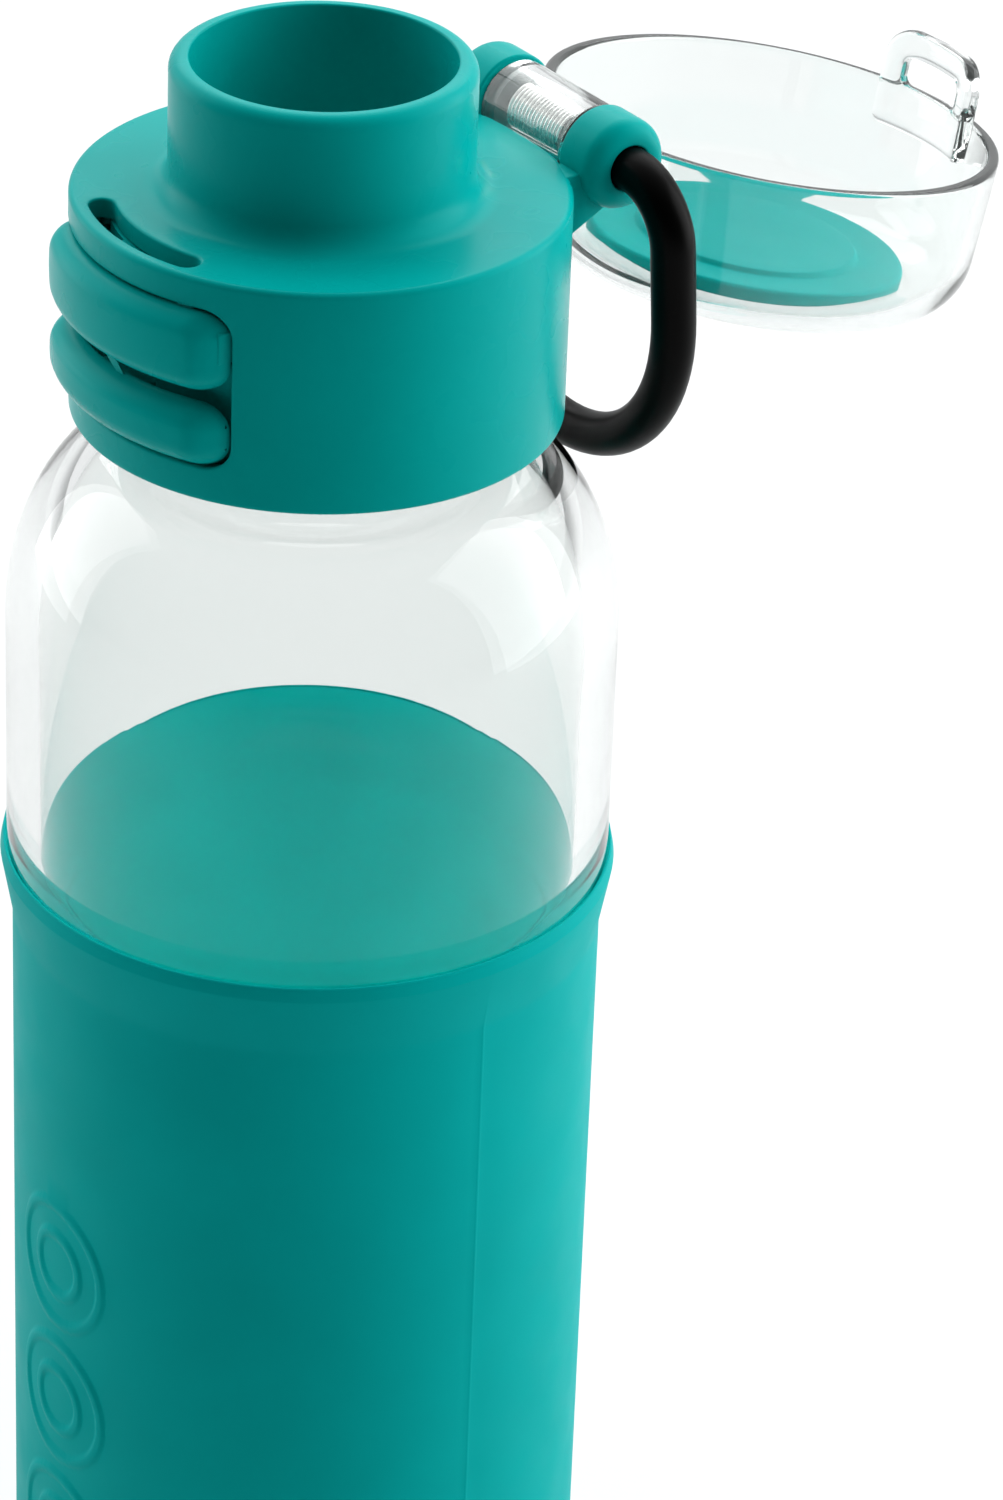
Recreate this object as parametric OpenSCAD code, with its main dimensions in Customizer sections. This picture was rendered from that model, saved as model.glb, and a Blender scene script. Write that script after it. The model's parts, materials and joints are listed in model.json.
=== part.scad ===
// Glass drinking bottle with a screw-on flip cap, a rubber carry loop and a silicone sleeve.
// Units are millimetres, +Z is up, the origin is the centre of the base on the ground.
// The latch faces -Y and the lid hinge is on the +Y side. The lid is drawn wide open.

/* [Bottle] */
// height of the lower edge of the cap collar
cap_z = 205; // [150:1:260]
// outside radius of the bare glass band under the shoulder
glass_r = 35.65; // [30:0.05:45]
// outside radius of the glass under the sleeve
glass_low_r = 33.1; // [28:0.05:44]
// glass wall thickness
glass_wall = 4; // [1.5:0.1:5]
// thickness of the glass base
glass_base = 6; // [3:0.5:12]
// outside radius of the glass neck
neck_r = 17.9; // [14:0.1:24]
// bore of the spout
bore_r = 15; // [10:0.1:20]
// bore of the glass neck
neck_bore = 14.6; // [10:0.1:20]
// height of the glass rim above the lower edge of the collar
rim_h = 17; // [10:0.5:24]
// half width of the shoulder curve
shoulder_a = 16; // [8:0.5:24]
// height of the shoulder curve
shoulder_b = 23.2; // [10:0.1:40]

/* [Thread] */
// thread pitch
pitch = 4; // [2:0.1:6]
// turns of thread
turns = 1.5; // [1:0.25:3]
// crest radius of the glass thread
crest_r = 19.3; // [15:0.1:26]
// gap left between the two threads
thread_gap = 0.35; // [0.2:0.05:0.8]

/* [Sleeve] */
// outside radius of the sleeve wall
sleeve_r = 35; // [30:0.05:45]
// how far the top of the sleeve sits below the collar
sleeve_drop = 55.9; // [30:0.1:100]
// outside radius of the swollen sleeve lip
lip_r = 36.4; // [31:0.05:47]
// thickness of the sleeve floor
sleeve_floor = 2; // [1:0.1:5]
// outside radius of each grip badge
badge_r = 8.75; // [3:0.05:12]
// vertical pitch of the grip badges
badge_pitch = 19.7; // [10:0.1:30]
// height of the lowest badge
badge_z = 20.2; // [12:0.1:60]
// number of grip badges
badges = 5; // [1:1:6]
// how far the badges stand out of the sleeve
badge_out = 0.3; // [0.2:0.1:2]

/* [Cap] */
// outside radius of the collar
collar_r = 28.3; // [20:0.05:40]
// height of the collar
collar_h = 26.9; // [15:0.1:40]
// wall of the collar
collar_wall = 1.6; // [1:0.1:4]
// thickness of the collar top
collar_top = 2.3; // [1:0.1:5]
// outside radius of the spout
spout_r = 17.27; // [12:0.05:24]
// height of the spout above the lower edge of the collar
spout_h = 42.6; // [25:0.1:60]
// outside radius of the threaded liner
liner_r = 21.2; // [16:0.1:30]

/* [Hinge] */
// distance from the bottle axis to the hinge pin
hinge_y = 32.25; // [20:0.05:50]
// height of the hinge pin above the lower edge of the collar
hinge_h = 27.2; // [15:0.1:40]
// radius of the two knuckles
knuckle_r = 5.44; // [3:0.05:9]
// distance from the middle to the inner face of a knuckle
knuckle_in = 8.2; // [4:0.1:16]
// distance from the middle to the outer face of a knuckle
knuckle_out = 14.6; // [8:0.1:24]
// radius of the clear hinge barrel on the lid
barrel_r = 5.05; // [3:0.05:8]
// radius of the steel pin
pin_r = 1.3; // [0.8:0.05:3]
// how far past level the lid drops when it is open
lid_droop = 10; // [0:1:30]

/* [Lid] */
// outside radius of the lid rim
lid_r = 27.35; // [20:0.05:40]
// wall of the clear lid
lid_wall = 1.5; // [1:0.1:3]
// outside depth of the lid
lid_depth = 19.6; // [12:0.1:30]
// outside radius of the flat part of the lid top
lid_flat_r = 20.5; // [10:0.1:30]
// radius of the seal disc
seal_r = 19.1; // [14:0.1:26]
// depth of the seal face below the lid rim
seal_depth = 15.7; // [10:0.1:25]
// half width of the catch tab
tab_w = 8.4; // [4:0.1:14]
// height of the catch tab above the lid rim
tab_h = 7.4; // [4:0.1:12]

/* [Latch] */
// half width of the latch window
window_w = 16.6; // [8:0.1:24]
// lower edge of the latch window
window_lo = 4.2; // [2:0.1:10]
// upper edge of the latch window
window_hi = 23.3; // [15:0.1:30]
// outside radius of the two pads
pad_r = 30.7; // [26:0.1:36]
// inward travel of the release button
press = 1.6; // [0.5:0.1:4]
// upward travel of the lock slider
lock_travel = 1.4; // [0.5:0.1:4]
// height at which the release button starts
button_lo = 13.7; // [8:0.1:20]
// top of the lock slider pad
lock_hi = 12.1; // [6:0.1:20]

/* [Carry loop] */
// radius of the rubber rod
rod_r = 2.6; // [1.5:0.05:5]
// half width of the loop on its centreline
loop_w = 22.5; // [15:0.5:35]
// bend radius where the rod leaves the hinge
bend_r = 7.2; // [4:0.1:12]
// drop from the hinge pin to the start of the round end
loop_drop = 16; // [8:0.5:40]
// angle between the hanging loop and level
loop_angle = 86; // [45:1:90]

/* [Hidden] */
$fn = 96;
eps = 0.01;
shell_in = collar_r - collar_wall;
top_under = collar_h - collar_top;
lip_top = cap_z - sleeve_drop;
shoulder_z = -shoulder_b - 3.8;
shoulder_x = glass_r - shoulder_a;
sleeve_in = glass_low_r;
slot_in = 23.5;
slot_out = 26.55;
slot_half = 23.4;
panel_in = 24.8;
panel_out = 25.8;
panel_top = 16.2;
pad_in = 27.6;
pad_w = window_w - 0.35;
tab_in = 24;
tab_out = 26.1;
hole_w = 5.2;
hole_lo = 0.6;
hole_hi = 4.2;
thread_lo = 5.6;
spring_x = 14.6;
seat_y = -17.1;
spring_len = 3.8;
spring_z = 19.4;
boss_y = seat_y - 0.8 - spring_len;
hook_in = 23;
hook_out = 23.8;
arm_w = 9.4;
coil_r = 1.25;
torsion_in = 1.75;
torsion_out = 2.75;
torsion_half = 5;
barrel_bore = 3.3;
barrel_half = 7.8;
bush_in = 6.1;
ridge = 0.375;

// ---- shared helpers ----------------------------------------------------

// moves children up to the lower edge of the cap collar
module at_cap() {
  translate([0, 0, cap_z]) children();
}

// moves children to the hinge pin, with X along the pin
module at_hinge() {
  translate([0, hinge_y, cap_z + hinge_h]) children();
}

// tube standing on z = lo
module tube(r_out, r_in, lo, hi) {
  translate([0, 0, lo]) difference() {
    cylinder(r = r_out, h = hi - lo);
    translate([0, 0, -1]) cylinder(r = r_in, h = hi - lo + 2);
  }
}

// plain box from two corners
module block(x0, x1, y0, y1, z0, z1) {
  translate([x0, y0, z0]) cube([x1 - x0, y1 - y0, z1 - z0]);
}

// rod along X between two stations
module rod_x(r, x0, x1) {
  translate([x0, 0, 0]) rotate([0, 90, 0]) cylinder(r = r, h = x1 - x0);
}

// rounded rectangle in the XZ plane, pushed along Y
module soft_bar(w, z0, z1, y0, y1, c) {
  translate([0, y1, 0]) rotate([90, 0, 0]) linear_extrude(y1 - y0) union() {
    translate([-w + c, z0]) square([2 * w - 2 * c, z1 - z0]);
    translate([-w, z0 + c]) square([2 * w, z1 - z0 - 2 * c]);
    for (x = [-w + c, w - c]) for (z = [z0 + c, z1 - c]) translate([x, z]) circle(r = c, $fn = 48);
  }
}

// crescent whose spin makes one helical ridge from base radius to crest radius
module thread_shape(r_base, r_crest) {
  half = 360 * ridge / 2;
  polygon(concat(
    [for (i = [0 : 6]) [r_base * cos(-half + i * half / 3), r_base * sin(-half + i * half / 3)]],
    [for (i = [5 : -1 : 1]) [r_crest * cos(-half * 0.9 + i * half * 0.3), r_crest * sin(-half * 0.9 + i * half * 0.3)]]));
}

// ---- bottle ------------------------------------------------------------

// outside profile of the glass from the axis at the base up to the rim
function glass_out() = concat(
  [[0, sleeve_floor], [glass_low_r - 5, sleeve_floor]],
  [for (a = [-75 : 15 : 0]) [glass_low_r - 5 + 5 * cos(a), sleeve_floor + 5 + 5 * sin(a)]],
  [[glass_low_r, lip_top - 12], [glass_low_r + 0.5, lip_top - 9], [glass_r - 0.5, lip_top - 4.5],
   [glass_r, lip_top - 1.5], [glass_r, cap_z + shoulder_z]],
  [for (a = [9 : 9 : 90]) [shoulder_x + shoulder_a * cos(a), cap_z + shoulder_z + shoulder_b * sin(a)]],
  [[neck_r + 0.5, cap_z - 3.3], [neck_r, cap_z - 2], [neck_r, cap_z + rim_h - 0.6],
   [neck_r - 0.6, cap_z + rim_h]]);

// inside profile of the glass from the rim back down to the axis
function glass_in() = concat(
  [[neck_bore + 0.6, cap_z + rim_h], [neck_bore, cap_z + rim_h - 0.6], [neck_bore, cap_z - 5.5]],
  [for (a = [90 : -9 : 0]) [shoulder_x + (shoulder_a - glass_wall) * cos(a),
    cap_z + shoulder_z + (shoulder_b - glass_wall) * sin(a)]],
  [[glass_r - glass_wall, lip_top - 1], [glass_low_r - glass_wall, lip_top - 10]],
  [for (a = [0 : -15 : -90]) [glass_low_r - glass_wall - 6 + 6 * cos(a),
    sleeve_floor + glass_base + 6 + 6 * sin(a)]],
  [[0, sleeve_floor + glass_base]]);

// blown bottle with a moulded screw finish
module glass_bottle() color([0.86, 0.93, 0.92, 0.35]) {
  rotate_extrude() polygon(concat(glass_out(), glass_in()));
  translate([0, 0, cap_z + thread_lo]) linear_extrude(pitch * turns, twist = -360 * turns,
    slices = 24 * turns) thread_shape(neck_r - 1, crest_r);
}

// soft cup stretched over the lower bottle, with a swollen lip and grip badges
module silicone_sleeve() color([0, 0.62, 0.62]) {
  difference() {
    rotate_extrude() polygon(concat(
      [[13, 0], [sleeve_r - 4, 0]],
      [for (a = [-75 : 15 : 0]) [sleeve_r - 4 + 4 * cos(a), 4 + 4 * sin(a)]],
      [[sleeve_r, lip_top - 10.4], [sleeve_r + 0.15, lip_top - 9.6], [lip_r - 0.1, lip_top - 3.2],
       [lip_r, lip_top - 2.5], [lip_r - 0.1, lip_top - 1.9], [glass_r + 0.25, lip_top],
       [glass_r, lip_top - 0.3],
       [glass_r, lip_top - 1.5], [glass_r - 0.5, lip_top - 4.5], [glass_low_r + 0.5, lip_top - 9],
       [glass_low_r, lip_top - 12]],
      [for (a = [0 : -15 : -75]) [glass_low_r - 5 + 5 * cos(a), sleeve_floor + 5 + 5 * sin(a)]],
      [[glass_low_r - 5, sleeve_floor], [13, sleeve_floor]]));
  }
  for (i = [0 : badges - 1]) grip_badge(badge_z + i * badge_pitch);
}

// one round badge on the latch side: a raised rim with a smaller raised ring inside it
module grip_badge(z) {
  intersection() {
    tube(sleeve_r + badge_out, sleeve_r - 0.8, z - badge_r - 1, z + badge_r + 1);
    translate([0, 0, z]) rotate([90, 0, 0]) union() {
      tube(badge_r, badge_r - 1, 20, 40);
      tube(badge_r - 4, badge_r - 5, 20, 40);
    }
  }
}

// ---- cap: parts that turn with it ---------------------------------------

// flat ring between the glass rim and the liner
module neck_gasket() color([0.9, 0.92, 0.92])
  at_cap() tube(neck_r - 0.1, bore_r + 0.2, rim_h + 0.05, rim_h + 1.55);

// threaded inner cup welded under the spout
module thread_liner() color([0.85, 0.88, 0.88]) at_cap() {
  tube(liner_r, crest_r + thread_gap, 0.8, rim_h + 1.6);
  tube(liner_r, bore_r + 0.5, rim_h + 1.6, rim_h + 3.4);
  intersection() {
    tube(crest_r + thread_gap + 0.5, neck_r + thread_gap, 0.8, rim_h);
    translate([0, 0, thread_lo]) linear_extrude(pitch * turns, twist = -360 * turns,
      slices = 24 * turns) difference() {
        rotate(180) thread_ring_shape();
        circle(r = neck_r + thread_gap, $fn = 72);
      }
  }
}

// crescent for the inner thread, fat at the root and slim at the crest
module thread_ring_shape() {
  half = 360 * ridge / 2;
  r_root = crest_r + thread_gap + 0.9;
  r_tip = neck_r - 1;
  polygon(concat(
    [for (i = [0 : 6]) [r_root * cos(-half + i * half / 3), r_root * sin(-half + i * half / 3)]],
    [for (i = [5 : -1 : 1]) [r_tip * cos(-half * 0.9 + i * half * 0.3), r_tip * sin(-half * 0.9 + i * half * 0.3)]]));
}

// outer moulding: collar, top, spout, knuckles, latch pocket
module cap_shell() color([0, 0.65, 0.64]) difference() {
  union() {
    at_cap() {
      rotate_extrude() polygon(concat(
        [[shell_in, 0], [collar_r - 0.6, 0], [collar_r, 0.6], [collar_r, collar_h - 0.7]],
        [for (a = [30 : 30 : 90]) [collar_r - 0.7 + 0.7 * cos(a), collar_h - 0.7 + 0.7 * sin(a)]],
        [for (a = [270 : -30 : 180]) [spout_r + 3 + 3 * cos(a), collar_h + 3 + 3 * sin(a)]],
        [for (a = [0 : 22.5 : 90]) [spout_r - 1.7 + 1.7 * cos(a), spout_h - 1.7 + 1.7 * sin(a)]],
        [[bore_r, spout_h], [bore_r, rim_h + 3.4], [spout_r, rim_h + 3.4], [spout_r, top_under],
         [shell_in, top_under]]));
      pocket_wall();
      for (a = [20 : 28 : 160]) rotate(a) block(spout_r - 0.5, shell_in + 0.5, -0.7, 0.7, rim_h + 3.5, top_under + 0.5);
      for (s = [-1, 1]) block(s * spring_x - 1.6, s * spring_x + 1.6, seat_y - 0.7, seat_y, 17.2, top_under + 0.5);
    }
    at_hinge() for (s = [0, 1]) mirror([s, 0, 0]) knuckle();
  }
  at_cap() {
    intersection() {
      soft_bar(window_w, window_lo, window_hi, -40, -17, 3);
      tube(collar_r + 2, panel_out, 0, collar_h);
    }
    slot();
    translate([0, 0, -1]) cylinder(r = bore_r, h = spout_h + 2);
  }
  at_hinge() rod_x(barrel_r + 0.32, -knuckle_in, knuckle_in);
  at_hinge() rod_x(pin_r + 0.03, -knuckle_out, knuckle_out);
  at_hinge() for (s = [0, 1]) mirror([s, 0, 0]) rod_x(rod_r + 0.1, knuckle_in + 3, knuckle_out + 1);
}

// knuckle with a domed outer edge and a web down to the collar, drawn on the +X side
module knuckle() {
  c = 2.2;
  rotate([0, 90, 0]) rotate_extrude() polygon(concat(
    [[0, knuckle_in], [knuckle_r - 0.2, knuckle_in], [knuckle_r, knuckle_in + 0.2]],
    [for (a = [0 : 22.5 : 90]) [knuckle_r - c + c * cos(a), knuckle_out - c + c * sin(a)]],
    [[0, knuckle_out]]));
  intersection() {
    translate([knuckle_in + 0.3, 0, 0]) rotate([90, 0, 90]) linear_extrude(knuckle_out - c - knuckle_in - 0.3)
      polygon([[1.4, -5.24], [-1.6, -5.2], [-12, -10.6], [-12, -0.3], [-3, -0.3], [0, 2]]);
    translate([0, -hinge_y, -hinge_h]) tube(hinge_y + 10, shell_in + 0.2, 0, collar_h + 3);
  }
}

// curved wall behind the two pads, with a window for the lock stem
module pocket_wall() {
  difference() {
    intersection() {
      tube(panel_out, panel_in, 0, panel_top);
      block(-window_w - 1.6, window_w + 1.6, -40, -14, 0, panel_top);
    }
    block(-5.2, 5.2, -40, -20, 5.4, 12.6);
  }
  for (s = [-1, 1]) intersection() {
    tube(collar_r - 0.4, panel_in, 0, top_under + 0.5);
    block(s * (window_w + 0.8) - 0.8, s * (window_w + 0.8) + 0.8, -30, -14, 0, top_under + 0.5);
  }
  intersection() {
    tube(shell_in + 0.5, panel_in, 0, window_lo - 1.2);
    block(-window_w - 1.6, window_w + 1.6, -40, -14, 0, window_lo - 1.2);
  }
}

// curved slot with round ends for the lid catch
module slot() {
  mid = (slot_in + slot_out) / 2;
  half = (slot_out - slot_in) / 2;
  a = slot_half - 3.2;
  translate([0, 0, top_under - 1]) {
    rotate(270 - a) rotate_extrude(angle = 2 * a) translate([slot_in, 0]) square([slot_out - slot_in, 5]);
    for (s = [-1, 1]) rotate(270 + s * a) translate([mid, 0, 0]) cylinder(r = half - 0.03, h = 5);
  }
}

// curved pad with softened outer edges and round corners
module pad(z0, z1, c) {
  e = 1.8;
  intersection() {
    soft_bar(pad_w, z0, z1, -40, -10, c);
    rotate(180) rotate_extrude(angle = 180) polygon(concat(
      [[pad_in, z0]],
      [for (a = [-90 : 22.5 : 0]) [pad_r - e + e * cos(a), z0 + e + e * sin(a)]],
      [for (a = [0 : 22.5 : 90]) [pad_r - e + e * cos(a), z1 - e + e * sin(a)]],
      [[pad_in, z1]]));
  }
}

// release button: pad, two arms round the slot and spring bosses
module release_button() color([0, 0.66, 0.65]) at_cap() {
  pad(button_lo, window_hi - 0.3, 3);
  for (s = [-1, 1]) {
    intersection() {
      block(s * (arm_w + 1) - 1, s * (arm_w + 1) + 1, -29, -20.9, 17.2, 22.6);
      tube(pad_in + 1, 10, 10, 30);
    }
    intersection() {
      block(s * spring_x - 1.6, s * spring_x + 1.6, -29, boss_y, 17.4, spring_z + 1.8);
      tube(pad_in + 1, 10, 10, 30);
    }
  }
}

// catch hook carried between the button arms
module catch_hook() color([0, 0.6, 0.6]) at_cap() {
  intersection() {
    tube(hook_out, hook_in, 18.4, 24.3);
    block(-arm_w, arm_w, -30, -15, 18, 25);
  }
  translate([-4.2, 0, 0]) rotate([90, 0, 90]) linear_extrude(8.4)
    polygon([[-23.3, 23.2], [-25.3, 23.2], [-25.3, 23.6], [-24.5, 24.3], [-23.3, 24.3]]);
}

// close ring stack standing for a fine compression coil, drawn along Y
module coil_stack() {
  rotate([-90, 0, 0]) {
    tube(coil_r + 0.1, coil_r - 0.1, 0.2, spring_len - 0.2);
    for (i = [0 : 5]) translate([0, 0, 0.25 + i * (spring_len - 0.5) / 5])
      rotate_extrude() translate([coil_r, 0]) circle(r = 0.25, $fn = 24);
  }
}

module button_spring_left() color([0.72, 0.73, 0.75])
  at_cap() translate([-spring_x, boss_y + 0.05, spring_z]) coil_stack();

module button_spring_right() color([0.72, 0.73, 0.75])
  at_cap() translate([spring_x, boss_y + 0.05, spring_z]) coil_stack();

// lock slider: lower pad, stem through the pocket wall, rear shoe and tongue
module lock_slider() color([0, 0.64, 0.63]) at_cap() {
  pad(window_lo + 0.3, lock_hi, 3);
  intersection() {
    block(-4.4, 4.4, -29, -22.6, 6.2, 10.6);
    tube(pad_in + 1, 10, 0, 30);
  }
  block(-7, 7, -23.6, -22.6, 5.6, 13.6);
  block(-4, 4, -22.7, -21.8, 10, 16.6);
}

// ---- hinge ---------------------------------------------------------------

module hinge_pin() color([0.75, 0.76, 0.78]) at_hinge() rod_x(pin_r, -knuckle_out + 0.6, knuckle_out - 0.6);

// close-wound torsion spring around the pin
module torsion_spring() color([0.78, 0.79, 0.8]) at_hinge() {
  wire = torsion_out - torsion_in;
  n = floor(2 * torsion_half / (wire * 0.9));
  mid = (torsion_in + torsion_out) / 2;
  difference() {
    rod_x(mid + 0.1, -torsion_half, torsion_half);
    rod_x(mid - 0.1, -torsion_half - 1, torsion_half + 1);
  }
  rotate([0, 90, 0]) for (i = [0 : n - 1])
    translate([0, 0, -torsion_half + wire / 2 + i * (2 * torsion_half - wire) / (n - 1)])
      rotate_extrude() translate([mid, 0]) circle(r = wire / 2, $fn = 24);
}

// flanged bush between a knuckle and the lid barrel
module bush() {
  difference() {
    union() {
      rod_x(barrel_bore - 0.05, bush_in, knuckle_in - 0.02);
      rod_x(barrel_r - 0.5, knuckle_in - 0.3, knuckle_in - 0.02);
    }
    rod_x(pin_r + 0.05, 0, knuckle_out);
  }
}

module pin_bush_left() color([0.02, 0.3, 0.3]) at_hinge() mirror([1, 0, 0]) bush();

module pin_bush_right() color([0.02, 0.3, 0.3]) at_hinge() bush();

// ---- lid ------------------------------------------------------------------

// moves children from the lid frame (rim plane at z = 0, bowl below it) to the open lid
module at_lid() {
  at_hinge() rotate([-lid_droop, 0, 0]) translate([0, hinge_y, 0]) children();
}

// clear bowl with barrel and catch tab
module lid() color([0.9, 0.95, 0.94, 0.4]) {
  c = 5;
  difference() {
    union() {
      at_lid() rotate_extrude() polygon(concat(
        [[0, -lid_depth], [lid_flat_r, -lid_depth]],
        [for (a = [-75 : 15 : 0]) [lid_flat_r + (lid_r - 0.5 - lid_flat_r) * cos(a), -lid_depth + c + 2 + (c + 2) * sin(a)]],
        [[lid_r, -0.4], [lid_r - 0.4, 0], [lid_r - lid_wall + 0.4, 0], [lid_r - lid_wall, -0.4]],
        [for (a = [0 : -15 : -90]) [lid_flat_r + (lid_r - 0.5 - lid_wall - lid_flat_r) * cos(a),
          -lid_depth + lid_wall + c + 1 + (c + 1) * sin(a)]],
        [[0, -lid_depth + lid_wall]]));
      at_hinge() rod_x(barrel_r, -barrel_half, barrel_half);
      at_hinge() rotate([-lid_droop, 0, 0]) difference() {
        block(-barrel_half + 0.4, barrel_half - 0.4, 1, hinge_y - lid_r + 3.2, -barrel_r + 0.35, -0.5);
        translate([0, hinge_y, -lid_depth]) cylinder(r = lid_r - lid_wall + 0.5, h = lid_depth + 1);
      }
      at_lid() catch_tab();
    }
    at_hinge() rod_x(barrel_bore, -barrel_half - 1, barrel_half + 1);
  }
}

// rounded frame that stands above the rim on the side away from the hinge
module catch_tab() {
  difference() {
    intersection() {
      tube(tab_out, tab_in, -6, tab_h + 1);
      translate([0, 30, 0]) rotate([90, 0, 0]) linear_extrude(20) union() {
        translate([-tab_w, -5]) square([2 * tab_w, 5 + tab_h - 4]);
        translate([-tab_w + 4, 0]) square([2 * tab_w - 8, tab_h]);
        for (s = [-1, 1]) translate([s * (tab_w - 4), tab_h - 4]) circle(r = 4);
      }
    }
    soft_bar(hole_w, hole_lo, hole_hi, 15, 40, 1.2);
    translate([0, 0, -lid_depth]) difference() {
      cylinder(r = 60, h = lid_depth - 0.4);
      cylinder(r = lid_r - 0.3, h = lid_depth);
    }
  }
}

// soft disc that closes the spout, held flat in the lid
module lid_seal() color([0, 0.72, 0.7]) at_lid() rotate_extrude() polygon([
  [0, -lid_depth + lid_wall], [seal_r - 0.4, -lid_depth + lid_wall], [seal_r, -lid_depth + lid_wall + 0.4],
  [seal_r, -seal_depth - 0.4], [seal_r - 0.4, -seal_depth], [13.4, -seal_depth], [13, -seal_depth + 0.7],
  [0, -seal_depth + 0.7]]);

// ---- carry loop -------------------------------------------------------------

// half of the loop on the +X side, hanging along -Z
module half_loop() {
  x0 = loop_w - bend_r;
  difference() {
    union() {
      rod_x(rod_r, knuckle_in + 3.3, x0);
      translate([x0, 0, -bend_r]) rotate([90, 0, 0]) rotate_extrude(angle = 90) translate([bend_r, 0]) circle(r = rod_r, $fn = 48);
      translate([loop_w, 0, -loop_drop]) cylinder(r = rod_r, h = loop_drop - bend_r, $fn = 48);
      translate([0, 0, -loop_drop]) rotate([90, 0, 0]) rotate([0, 0, -90]) rotate_extrude(angle = 90) translate([loop_w, 0]) circle(r = rod_r, $fn = 48);
    }
    rod_x(pin_r + 0.04, 0, knuckle_out - 0.4);
  }
}

// one moulded rubber bail whose ends turn on the pin
module carry_loop() color([0.05, 0.05, 0.06]) at_hinge() rotate([90 - loop_angle, 0, 0]) {
  half_loop();
  mirror([1, 0, 0]) half_loop();
}

glass_bottle();
silicone_sleeve();
neck_gasket();
thread_liner();
cap_shell();
release_button();
catch_hook();
button_spring_left();
button_spring_right();
lock_slider();
hinge_pin();
torsion_spring();
pin_bush_left();
pin_bush_right();
lid();
lid_seal();
carry_loop();
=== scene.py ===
# %% [markdown]
# Glass drinking bottle with a flip cap, looked at as a Blender lesson.
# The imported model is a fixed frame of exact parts. Every piece below is a finer mesh or a finish
# for one of those parts, in metres, with +Z up and the latch facing -Y.

# %% Load the frame
import json
from math import cos, pi, radians, sin, sqrt, tan

import bmesh
import bpy
from mathutils import Matrix, Vector


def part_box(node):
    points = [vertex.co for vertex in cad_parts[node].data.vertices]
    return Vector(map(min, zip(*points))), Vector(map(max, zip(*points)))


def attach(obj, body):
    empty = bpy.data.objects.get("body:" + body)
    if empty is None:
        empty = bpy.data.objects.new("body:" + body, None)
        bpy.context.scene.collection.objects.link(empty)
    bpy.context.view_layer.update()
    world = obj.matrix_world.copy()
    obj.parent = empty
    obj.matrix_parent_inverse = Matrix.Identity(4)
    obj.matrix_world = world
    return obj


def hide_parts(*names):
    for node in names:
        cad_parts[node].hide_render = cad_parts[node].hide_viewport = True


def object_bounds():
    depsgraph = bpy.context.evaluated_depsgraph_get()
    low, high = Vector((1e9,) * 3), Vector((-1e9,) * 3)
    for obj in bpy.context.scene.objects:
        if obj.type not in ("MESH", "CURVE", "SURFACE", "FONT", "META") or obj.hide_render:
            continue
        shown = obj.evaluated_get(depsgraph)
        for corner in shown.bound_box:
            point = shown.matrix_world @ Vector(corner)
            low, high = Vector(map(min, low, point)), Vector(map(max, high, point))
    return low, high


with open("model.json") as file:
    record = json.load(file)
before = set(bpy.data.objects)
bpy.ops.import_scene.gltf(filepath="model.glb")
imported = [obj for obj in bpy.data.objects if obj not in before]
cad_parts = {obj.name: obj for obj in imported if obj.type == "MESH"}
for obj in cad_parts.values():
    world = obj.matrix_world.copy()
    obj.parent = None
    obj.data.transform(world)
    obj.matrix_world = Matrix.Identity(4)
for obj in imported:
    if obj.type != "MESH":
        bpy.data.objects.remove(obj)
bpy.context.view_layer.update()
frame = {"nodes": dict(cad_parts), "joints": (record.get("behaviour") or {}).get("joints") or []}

MM = 0.001


# %% [markdown]
# The places everything hangs from are read off the exact parts: the foot of the cap collar, the top
# of the sleeve, and the pin that the lid turns on. A change in the model moves the looks with it.

# %% Stations along the bottle
cap_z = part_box("cap_shell")[0].z / MM
sleeve_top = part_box("silicone_sleeve")[1].z / MM
hinge = Vector([j for j in frame["joints"] if j["name"] == "lid_hinge"][0]["pos_m"]) / MM
LID_DROOP = 10  # degrees that the open lid hangs below level
print("collar foot", round(cap_z, 2), "sleeve top", round(sleeve_top, 2), "hinge pin", hinge)

# %% [markdown]
# The camera stands to the right of the latch, looking down on the cap with a long lens, which keeps
# the ellipses of rim and collar calm. It is built from an aim point, two angles, a distance and a
# small roll, because those are the numbers that set up a tripod.

# %% Camera
AIM = Vector((13.43, 18.17, 160.34)) * MM
TURN, TILT, ROLL = radians(53.53), radians(29.582), radians(2.2434)
REACH = 715.64 * MM

towards = Vector((sin(TURN) * cos(TILT), -cos(TURN) * cos(TILT), sin(TILT)))
level = Vector((cos(TURN), sin(TURN), 0))
upright = towards.cross(level)
right = cos(ROLL) * level + sin(ROLL) * upright
up = -sin(ROLL) * level + cos(ROLL) * upright

camera_data = bpy.data.cameras.new("camera")
camera_data.lens = 145.917
camera_data.sensor_width = 36
camera_data.clip_start = 0.05
camera = bpy.data.objects.new("camera", camera_data)
bpy.context.scene.collection.objects.link(camera)
facing_bottle = Matrix((right, up, towards)).transposed().to_4x4()
camera.matrix_world = Matrix.Translation(AIM + towards * REACH) @ facing_bottle
bpy.context.scene.camera = camera
print("camera at", [round(v, 4) for v in camera.matrix_world.translation])

# %% [markdown]
# A product table: a pale sheet of paper, two tall softboxes a little behind the bottle, and a wide one
# above and behind. The sky is bright behind the bottle and nearly dark in front, so round pieces grow
# darker down their middle. That dark front would draw black rims in the clear pieces, so rays that
# have passed through glass, and rays straight from the camera, meet a second sky that is pale all
# round. A real studio does the same with white cards. The plain transfer keeps the pale floor white.

# %% Studio
scene = bpy.context.scene
scene.view_settings.view_transform = "Standard"
scene.view_settings.look = "None"

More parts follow.
